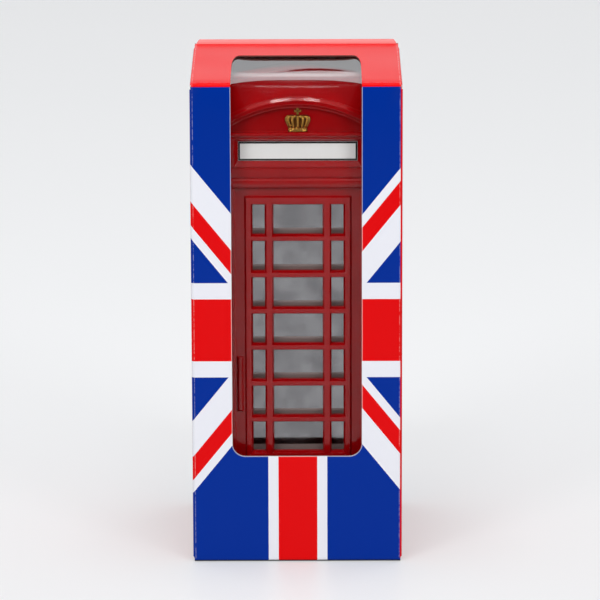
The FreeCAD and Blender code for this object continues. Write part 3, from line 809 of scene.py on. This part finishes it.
def wrap_faces():
    """The flat sheet's faces, with the window and its four corners left out."""
    inner = window_columns + [window_half - sill_corner, window_half - rear_corner_across]
    outer = [window_half] + margin_columns + [flat_half]
    bent = steps(flat_half, flat_half + crease * math.pi / 4, 4)[1:]
    front_columns = mirrored(inner + outer + bent)
    lid_columns = mirrored(inner + outer + [lid_half])
    low_rows = steps(front_low.z, sill_height, 6)
    side_rows = steps(sill_height + sill_corner, fold_height, 14)
    fold_rows = steps(fold_height, fold_end, 8)[1:]
    lid_rows = steps(fold_end, rear_corner_start, 4)[1:]
    rear_rows = steps(window_rear, lid_up(lid_high.y), 4)
    faces = cells(front_columns, low_rows + side_rows)
    faces += cells(lid_columns, side_rows[-1:] + fold_rows + lid_rows + rear_rows)
    return [face for face in faces if not in_window(face)] + window_corners()


def in_window(face):
    across = [abs(corner[0]) for corner in face]
    up = [corner[1] for corner in face]
    return max(across) <= window_half and min(up) >= sill_height and max(up) <= window_rear


def window_corners():
    """The card left in the window's rounded corners."""
    turn = steps(0.0, math.pi / 2, 8)
    narrow = window_half - sill_corner
    sill_arc = [
        (narrow + sill_corner * math.cos(angle), sill_height + sill_corner * (1 - math.sin(angle)))
        for angle in turn[1:-1]
    ]
    rear_narrow = window_half - rear_corner_across
    rear_across = [rear_narrow + rear_corner_across * math.cos(angle) for angle in turn[1:-1]]
    rear_up = [rear_corner_start + rear_corner_along * math.sin(angle) for angle in turn[1:-1]]
    rear_arc = list(zip(rear_across, rear_up))
    sill = [(narrow, sill_height), (rear_narrow, sill_height), (window_half, sill_height)]
    sill += [(window_half, sill_height + sill_corner)] + sill_arc
    rear = [(window_half, rear_corner_start), (window_half, window_rear)]
    rear += [(rear_narrow, window_rear)] + rear_arc[::-1]
    right = [tuple(sill), tuple(rear)]
    return right + [tuple((-across, up) for across, up in face[::-1]) for face in right]


def wrap_folded(across, up, depth):
    """Where a place on the flat sheet goes, this deep below its printed skin."""
    bend = crease - depth
    if up > fold_end:
        return (across, lid_start + up - fold_end, lid_top - depth)
    if up > fold_height:
        angle = (up - fold_height) / crease
        return (across, lid_start - bend * math.cos(angle), fold_height + bend * math.sin(angle))
    if abs(across) > flat_half:
        angle = (abs(across) - flat_half) / crease
        side = math.copysign(flat_half + bend * math.sin(angle), across)
        return (side, lid_start - bend * math.cos(angle), up)
    return (across, front_face + depth, up)


print("card", round(card / mm, 2), "mm, crease radius", round(crease / mm, 2), "mm")

# %% [markdown]
# ## Print on the front and lid
# The lid is plain red, and its ink runs just over the fold. Where the board was creased the ink
# has cracked, so a faint broken line of fibre follows each fold, and the die that cut the window
# left a pale frayed rim round it. The print also swells a little: a slow bump across the sheet
# makes the lid's glare uneven, as a hand-folded carton's is.

# %% Print of the front and lid
lid_ink_start = fold_height + 0.1 * mm
side_ink_start = flat_half + 0.62 * mm
crack_place = flat_half + 0.35 * mm
crack_width = 0.13 * mm
crack_strength = 0.22
crack_grains = 900.0
crack_range = (0.36, 0.62)
swells_per_metre = 22.0
swell_depth = 0.5 * mm
front_grain = 0.006 * mm
fibre_pale = colour(204, 201, 196)
fibre_shade = colour(190, 187, 182)
lid_cut_shade = colour(112, 52, 44)
rim_width = 0.24 * mm
rim_strength = 0.45


def off_window(tree, spot):
    """How far a place on the front lies from the window's edge, round its lower corners too."""
    beside = tree.maths("SUBTRACT", tree.maths("ABSOLUTE", spot["X"]), window_half - sill_corner)
    below = tree.maths("SUBTRACT", sill_height + sill_corner, spot["Y"])
    beside = tree.maths("MAXIMUM", beside, 0.0)
    below = tree.maths("MAXIMUM", below, 0.0)
    squares = tree.maths("MULTIPLY_ADD", beside, beside, tree.maths("MULTIPLY", below, below))
    return tree.maths("SUBTRACT", tree.maths("SQRT", squares), sill_corner)


def make_wrap_print():
    material, tree, shader = varnished("front_and_lid_print")
    sheet = tree.sheet_place()
    spot = tree.parts(sheet)
    tone = tree.place(mottle, **print_mottle)
    flag = tree.place(flag_print, Across=spot["X"], Up=spot["Y"])["Colour"]
    on_lid = tree.maths("GREATER_THAN", spot["Y"], lid_ink_start)
    on_side = tree.maths("GREATER_THAN", spot["X"], side_ink_start)
    inked = tree.mix(tree.maths("MAXIMUM", on_lid, on_side), flag, print_red)
    off_crease = tree.maths("SUBTRACT", tree.maths("ABSOLUTE", spot["X"]), crack_place)
    at_side = tree.maths("LESS_THAN", tree.maths("ABSOLUTE", off_crease), crack_width)
    off_fold = tree.maths("SUBTRACT", spot["Y"], fold_end)
    at_fold = tree.maths("LESS_THAN", tree.maths("ABSOLUTE", off_fold), crack_width)
    broken = tree.rise(tree.noise(sheet, crack_grains, detail=3.0), *crack_range)
    cracks = tree.maths("MULTIPLY", tree.maths("MAXIMUM", at_side, at_fold), broken)
    worn = tree.mix(tree.maths("MULTIPLY", cracks, crack_strength), inked, cut_white)
    frayed = tree.maths("LESS_THAN", off_window(tree, spot), rim_width)
    on_front = tree.maths("LESS_THAN", spot["Y"], fold_height)
    rim = tree.maths("MULTIPLY", tree.maths("MULTIPLY", frayed, on_front), rim_strength)
    tree.feed(shader["Base Color"], tree.mix(rim, worn, cut_white))
    tree.feed(shader["Roughness"], tree.between(tone["Patch"], *print_gloss))
    swell = tree.bump(tree.noise(sheet, swells_per_metre, detail=1.0), swell_depth)
    tree.feed(shader["Normal"], tree.bump(tone["Grain"], front_grain, swell))
    return material


def make_window_cut():
    """The sheet's cut edge: pale on the front, painted dark reddish brown round the lid's window as
    painted shade.
    """
    material, tree, shader = new_material("window_cut", Roughness=board_roughness)
    tone = tree.place(mottle, **board_mottle)
    up = tree.parts(tree.sheet_place())["Y"]
    on_lid = tree.rise(up, fold_height, lid_up(0.0))
    # Painted shade: the lid's window edge is tinted dark reddish brown.
    pale = tree.mix(on_lid, fibre_pale, lid_cut_shade)
    dark = tree.mix(on_lid, board_shade, lid_cut_shade)
    tree.feed(shader["Base Color"], tree.mix(tone["Grain"], pale, dark))
    tree.feed(shader["Normal"], tree.bump(tone["Grain"], board_grain))
    return material


inside_card = make_plain_card("inside_card", plain_board, board_shade)
cut_card = make_plain_card("cut_card", fibre_pale, fibre_shade)
wrap_finishes = (make_wrap_print(), inside_card, make_window_cut())
carton_wrap = solid_sheet("carton_front_and_lid", wrap_faces(), wrap_folded, card, wrap_finishes)
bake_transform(carton_wrap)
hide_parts("carton_front", "lid_panel")

# %% [markdown]
# ## Tuck flap
# At the rear of the lid the card rises into a rounded fold before it tucks down behind. Its
# ends are cut on a slant, so the fold is a little shorter at its top than at its root. The ink
# along the fold is painted paler, partly a painted sheen of the light from above, partly scuffing.

# %% Tuck flap
tuck_low, tuck_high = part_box("lid_tuck_flap")
tuck_rise = tuck_high.z - lid_top
tuck_middle = tuck_low.y + tuck_rise
tuck_round = math.pi * tuck_rise
tuck_length = tuck_round + lid_top - tuck_low.z
tuck_root_half = 36.0 * mm
tuck_top_half = 34.8 * mm
tuck_tip_half = 30.0 * mm
tuck_sheen_and_scuff = 0.26
sheen_and_scuff_range = (0.75 * tuck_round, 0.45 * tuck_round)
faded_red = colour(206, 16, 22)


def tuck_half(up):
    """Half the flap's width, this far up from its root."""
    if up < tuck_round / 2:
        return tuck_root_half + (tuck_top_half - tuck_root_half) * up / (tuck_round / 2)
    tip = max(0.0, (up - tuck_round) / (tuck_length - tuck_round))
    return tuck_top_half + (tuck_tip_half - tuck_top_half) * tip**3


def tuck_folded(across, up, depth):
    """Across is a share of the half width; the flap goes over the fold and down."""
    x = across * tuck_half(up)
    if up > tuck_round:
        return (x, tuck_high.y - depth, lid_top - (up - tuck_round))
    angle = math.pi - up / tuck_rise
    bend = tuck_rise - depth
    return (x, tuck_middle + bend * math.cos(angle), lid_top + bend * math.sin(angle))


def make_red_print():
    """Red print, paler over the fold with painted sheen and scuffing; the flat sheet's second
    coordinate runs up the flap.
    """
    material, tree, shader = varnished("red_print")
    tone = tree.place(mottle, **print_mottle)
    ink = tree.mix(tone["Patch"], print_red, faded_red)
    up = tree.parts(tree.sheet_place())["Y"]
    # Painted sheen and scuffing: the ink over the fold is mixed towards white.
    sheen_and_scuff = tree.maths("MULTIPLY", tree.rise(up, *sheen_and_scuff_range), tuck_sheen_and_scuff)
    tree.feed(shader["Base Color"], tree.mix(sheen_and_scuff, ink, cut_white))
    tree.feed(shader["Normal"], tree.bump(tone["Grain"], print_grain))
    return material


tuck_rows = steps(0.0, tuck_round, 12) + steps(tuck_round, tuck_length, 10)[1:]
tuck_cells = cells(steps(-1.0, 1.0, 12), tuck_rows)
tuck_finishes = (make_red_print(), inside_card, cut_card)
tuck_flap = solid_sheet("tuck_flap", tuck_cells, tuck_folded, card, tuck_finishes)
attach(tuck_flap, "tuck")
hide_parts("lid_tuck_flap")

# %% [markdown]
# ## Window film
# A sheet of clear film is glued behind the card, from below the sill to behind the lid's
# window. Film is stiffer than a crease, so in the open window it rounds the top edge in a wide
# bend, and only where it is glued does it follow the fold. That bend catches the soft box.
# Behind the bend the film dips below the lid and stays there until the glue at its rear, which
# leaves a dark gap under the window's rear edge. One soft crease runs across its right half.
# A glass shader would keep the lights from what lies behind such a thin sheet, so the film is
# a mirror that is almost fully transparent, and less so at a slant.

# %% Window film
film_low, film_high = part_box("window_film_front")
film = film_high.y - film_low.y
film_half = film_high.x
film_face = film_low.y
film_top = lid_film_high.z
free_bend = 8.0 * mm
glued_bend = crease - card
film_ripple = 0.12 * mm
ripple_up, ripple_across = 7.5 * mm, 9.0 * mm
bend_evenness = 3
dip_evenness = 7
film_dip = 0.52 * mm
dip_start = 4.0 * mm
dip_length = 10.5 * mm
glue_length = 3.0 * mm
crease_depth = 0.36 * mm
crease_width = 1.6 * mm
crease_middle = Vector((7.0, -8.7)) * mm
crease_half = 14.0 * mm
crease_bow = 0.031 / mm
film_index = 1.5
film_clearness = 0.076
film_swell = 0.15 * mm
film_white = colour(250, 250, 250)
film_blue = colour(244, 246, 250)


def smooth_share(value, low, high):
    """0 up to low, 1 from high on, and a smooth step between them."""
    share = min(1.0, max(0.0, (value - low) / (high - low)))
    return share * share * (3.0 - 2.0 * share)


def film_freedom(across, evenness):
    """1 in the middle of the window, falling to 0 where the film is glued; more evenness, later."""
    return max(0.0, 1.0 - (abs(across) / window_half) ** evenness)


def film_sink(across, y):
    """How far the film hangs below the lid's card."""
    dip_front = film_face + free_bend + dip_start
    dip = film_dip * smooth_share(y, dip_front, dip_front + dip_length)
    held = smooth_share(y, lid_film_high.y - glue_length, lid_film_high.y)
    off_crease = (y - crease_middle.y + crease_bow * (across - crease_middle.x) ** 2) / crease_width
    ends = max(0.0, 1.0 - ((across - crease_middle.x) / crease_half) ** 2)
    crease_line = crease_depth * ends * math.exp(-(off_crease**2))
    return film_freedom(across, dip_evenness) * (dip + crease_line) * (1.0 - held)


def film_folded(across, along, depth):
    """Along runs from 0 to 1 up the front, to 2 round the bend and to 3 along the lid."""
    free = film_freedom(across, bend_evenness)
    bend = glued_bend + (free_bend - glued_bend) * free
    if along <= 1.0:
        height = film_low.z + (film_top - bend - film_low.z) * along
        wave = math.sin(height / ripple_up + across / ripple_across)
        ripple = film_ripple * free * wave * (1.0 - along)
        return (across, film_face + depth + film_ripple * free + ripple, height)
    if along <= 2.0:
        angle = (along - 1.0) * math.pi / 2
        turn = bend - depth
        height = film_top - bend + turn * math.sin(angle)
        return (across, film_face + bend - turn * math.cos(angle), height)
    rear = film_face + bend + (lid_film_high.y - film_face - bend) * (along - 2.0)
    return (across, rear, film_top - depth - film_sink(across, rear))


def make_clear_film():
    """What the film's two faces mirror grows with the slant of the view; the rest passes."""
    material, tree, shader = new_material("clear_film", Metallic=1.0, Roughness=0.03)
    tone = tree.place(mottle, Patches=30.0, Grains=260.0)
    tree.feed(shader["Base Color"], tree.mix(tone["Patch"], film_white, film_blue))
    gleam = tree.add("ShaderNodeFresnel")
    gleam.inputs["IOR"].default_value = film_index
    one_face = gleam.outputs[0]
    twice = tree.maths("MULTIPLY", one_face, 2.0)
    both_faces = tree.maths("DIVIDE", twice, tree.maths("ADD", one_face, 1.0))
    slanted = tree.maths("SUBTRACT", both_faces, film_clearness)
    outside = tree.maths("SUBTRACT", 1.0, tree.add("ShaderNodeNewGeometry").outputs["Backfacing"])
    tree.feed(shader["Alpha"], tree.maths("MULTIPLY", slanted, outside))
    tree.feed(shader["Normal"], tree.bump(tone["Patch"], film_swell))
    return material


film_columns = mirrored(steps(0.0, window_half, 20) + [film_half])
film_rows = steps(0.0, 1.0, 24) + steps(1.0, 2.0, 20)[1:] + steps(2.0, 3.0, 84)[1:]
film_cells = cells(film_columns, film_rows)
film_finishes = [make_clear_film()] * 3
window_film = solid_sheet("window_film", film_cells, film_folded, film, film_finishes)
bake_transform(window_film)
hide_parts("window_film_front", "window_film_lid")

# %% [markdown]
# ## Gilt crowns
# A small crown stands in each pediment, cast in relief and gilded. It has a banded foot with a
# row of beads, ribs that flare out to the shoulders and meet under an orb, and a cross on top.
# It could be one outline pushed out of a plate, but then nothing would round off in the light.
# So each rib is a tube along a bent line, set with pearls, in front of a cap that is painted
# darker: a painted shade for the shadowed gaps between the ribs. The sizes below are in units of
# a drawing that is crown_drawing units tall, and the crown is scaled to its place at the end.

# %% Crown parts
crown_low, crown_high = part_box("crown_front")
bank_middle = (crown_low.x + crown_high.x) / 2
crown_drawing = 8.7
crown_unit = (crown_high.z - crown_low.z) / crown_drawing
crown_flatness = 0.30
rib_angles = [math.radians(angle) for angle in range(-84, 85, 28)]
rib_radius = 0.44
pearl_radius = 0.60
rib_profile = [
    (3.0, 1.5), (3.25, 2.3), (3.65, 3.2), (4.0, 4.0),
    (4.05, 4.8), (3.5, 5.4), (2.3, 5.6), (1.0, 5.3),
]
cap_profile = [
    (2.7, 1.5), (2.95, 2.3), (3.35, 3.2), (3.65, 4.0),
    (3.7, 4.7), (3.2, 5.1), (2.1, 5.3), (0.8, 5.0),
]
band_profile = [
    (3.2, 0.0), (3.5, 0.15), (3.5, 0.45), (3.15, 0.55),
    (3.15, 1.0), (3.5, 1.1), (3.5, 1.4), (3.1, 1.55),
]
bead_out, bead_height, bead_radius = 3.25, 0.77, 0.24
bead_spread = 1.35
orb_out, orb_height, orb_radius = 0.35, 5.75, 0.55
cross_foot = Vector((0, -0.1, 6.2))
cross_size = 2.25
rounded_area = 0.6


def crown_place(radius, angle, height):
    """A place on the crown's front, with its depth flattened into relief."""
    return Vector((radius * math.sin(angle), -radius * math.cos(angle) * crown_flatness, height))


def add_ball(build, middle, radius):
    made = bmesh.ops.create_uvsphere(build, u_segments=10, v_segments=7, radius=radius)
    bmesh.ops.translate(build, verts=made["verts"], vec=middle)


def add_tube(build, line, radius, sides=8):
    """A closed round tube along a line of places."""
    rings = []
    for index, middle in enumerate(line):
        ahead = (line[min(index + 1, len(line) - 1)] - line[max(index - 1, 0)]).normalized()
        across = ahead.orthogonal().normalized()
        angles = [2 * math.pi * side / sides for side in range(sides)]
        outward = [Matrix.Rotation(angle, 3, ahead) @ across for angle in angles]
        rings.append([build.verts.new(middle + way * radius) for way in outward])
    for ring, following in zip(rings, rings[1:]):
        for side in range(sides):
            beyond = (side + 1) % sides
            build.faces.new((ring[side], ring[beyond], following[beyond], following[side]))
    build.faces.new(rings[0][::-1])
    build.faces.new(rings[-1])


def add_front_shell(build, profile, turns, finish=0):
    """The front half of a turned form, closed by a flat back, in one of the crown's finishes."""
    rings = []
    for radius, height in profile:
        rings.append([build.verts.new(crown_place(radius, angle, height)) for angle in turns])
    corners = [rings[0][::-1], rings[-1]]
    corners.append([ring[0] for ring in rings] + [ring[-1] for ring in rings[::-1]])
    for ring, following in zip(rings, rings[1:]):
        for index in range(len(turns) - 1):
            corners.append((ring[index], ring[index + 1], following[index + 1], following[index]))
    for face_corners in corners:
        build.faces.new(face_corners).material_index = finish


def add_cross(build, foot, size):
    """A cross with arms that widen outwards from a round boss."""
    waist, flare, depth = 0.09 * size, 0.24 * size, 0.16 * size
    arm, boss = 0.55 * size, 0.15 * size
    middle = foot + Vector((0, 0, arm))
    add_ball(build, middle, boss)
    for quarter in range(4):
        turn = Matrix.Rotation(quarter * math.pi / 2, 3, "Y")
        outline = [(-waist, 0), (waist, 0), (flare, arm), (-flare, arm)]
        rims = []
        for y in (-depth, depth):
            rims.append([build.verts.new(middle + turn @ Vector((x, y, z))) for x, z in outline])
        build.faces.new(rims[0])
        build.faces.new(rims[1][::-1])
        for index in range(4):
            beyond = (index + 1) % 4
            build.faces.new((rims[0][beyond], rims[0][index], rims[1][index], rims[1][beyond]))


print("crown", [round(side / mm, 2) for side in crown_high - crown_low], "mm")

# %% [markdown]
# ## Put the crown together
# The crown is modelled once, standing on the ledge of the front pediment, and copied with a
# quarter turn about the bank's own axis for each other side. The gilding is warm, and brighter
# where it is rubbed, which is what the edge group's mask is for.

# %% Crowns
gilt_tones = (colour(124, 84, 33), colour(174, 130, 63), colour(216, 174, 102))
cap_shade_tones = (colour(70, 40, 16), colour(96, 60, 26), colour(120, 80, 36))
gilt_gloss = (0.16, 0.32)
gilt_grain = 0.01 * mm


def make_gilt(name, dull, bright, rubbed):
    """Gilding that goes from a dull to a bright tone in patches, and to a rubbed one at edges."""
    material, tree, shader = new_material(name, Metallic=1.0)
    wear = tree.place(edge_wear, Radius=0.25 * mm)
    tone = tree.place(mottle, Patches=400.0, Grains=2600.0)
    leaf = tree.mix(tone["Patch"], dull, bright)
    tree.feed(shader["Base Color"], tree.mix(wear["Mask"], leaf, rubbed))
    tree.feed(shader["Roughness"], tree.between(tone["Patch"], *gilt_gloss))
    tree.feed(shader["Normal"], tree.bump(tone["Grain"], gilt_grain, wear["Normal"]))
    return material


def crown_mesh():
    """The crown about its own foot, in units of the crown's drawing."""
    build = bmesh.new()
    half_turn = steps(-math.pi / 2, math.pi / 2, 14)
    add_front_shell(build, band_profile, half_turn)
    # The cap gets the darker finish, a painted shade between the ribs.
    add_front_shell(build, cap_profile, half_turn, finish=1)
    for angle in steps(-bead_spread, bead_spread, 10):
        add_ball(build, crown_place(bead_out, angle, bead_height), bead_radius)
    for angle in rib_angles:
        line = [crown_place(radius, angle, height) for radius, height in rib_profile]
        add_tube(build, line, rib_radius)
        for place in line[1:-1]:
            add_ball(build, place, pearl_radius)
    add_ball(build, crown_place(orb_out, 0.0, orb_height), orb_radius)
    add_cross(build, cross_foot, cross_size)
    for face in build.faces:
        face.smooth = len(face.verts) == 4 and face.calc_area() < rounded_area
    return build


def make_crown(side, quarter, finishes):
    """One crown, turned a quarter at a time from the front one."""
    build = crown_mesh()
    foot = Matrix.Translation((0, crown_high.y, crown_low.z))
    turn = Matrix.Rotation(quarter * math.pi / 2, 4, "Z")
    axis = Matrix.Translation((bank_middle, 0, 0))
    build.transform(axis @ turn @ foot @ Matrix.Scale(crown_unit, 4))
    mesh = bpy.data.meshes.new("gilt_crown_" + side)
    build.to_mesh(mesh)
    build.free()
    for finish in finishes:
        mesh.materials.append(finish)
    crown = bpy.data.objects.new("gilt_crown_" + side, mesh)
    scene.collection.objects.link(crown)
    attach(crown, "carton_and_bank")
    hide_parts("crown_" + side)
    return crown


gilt_finishes = (make_gilt("gilt", *gilt_tones), make_gilt("gilt_hollow", *cap_shade_tones))
for quarter_turns, crown_side in enumerate(("front", "right", "back", "left")):
    made_crown = make_crown(crown_side, quarter_turns, gilt_finishes)
    print(made_crown.name, len(made_crown.data.polygons), "faces")
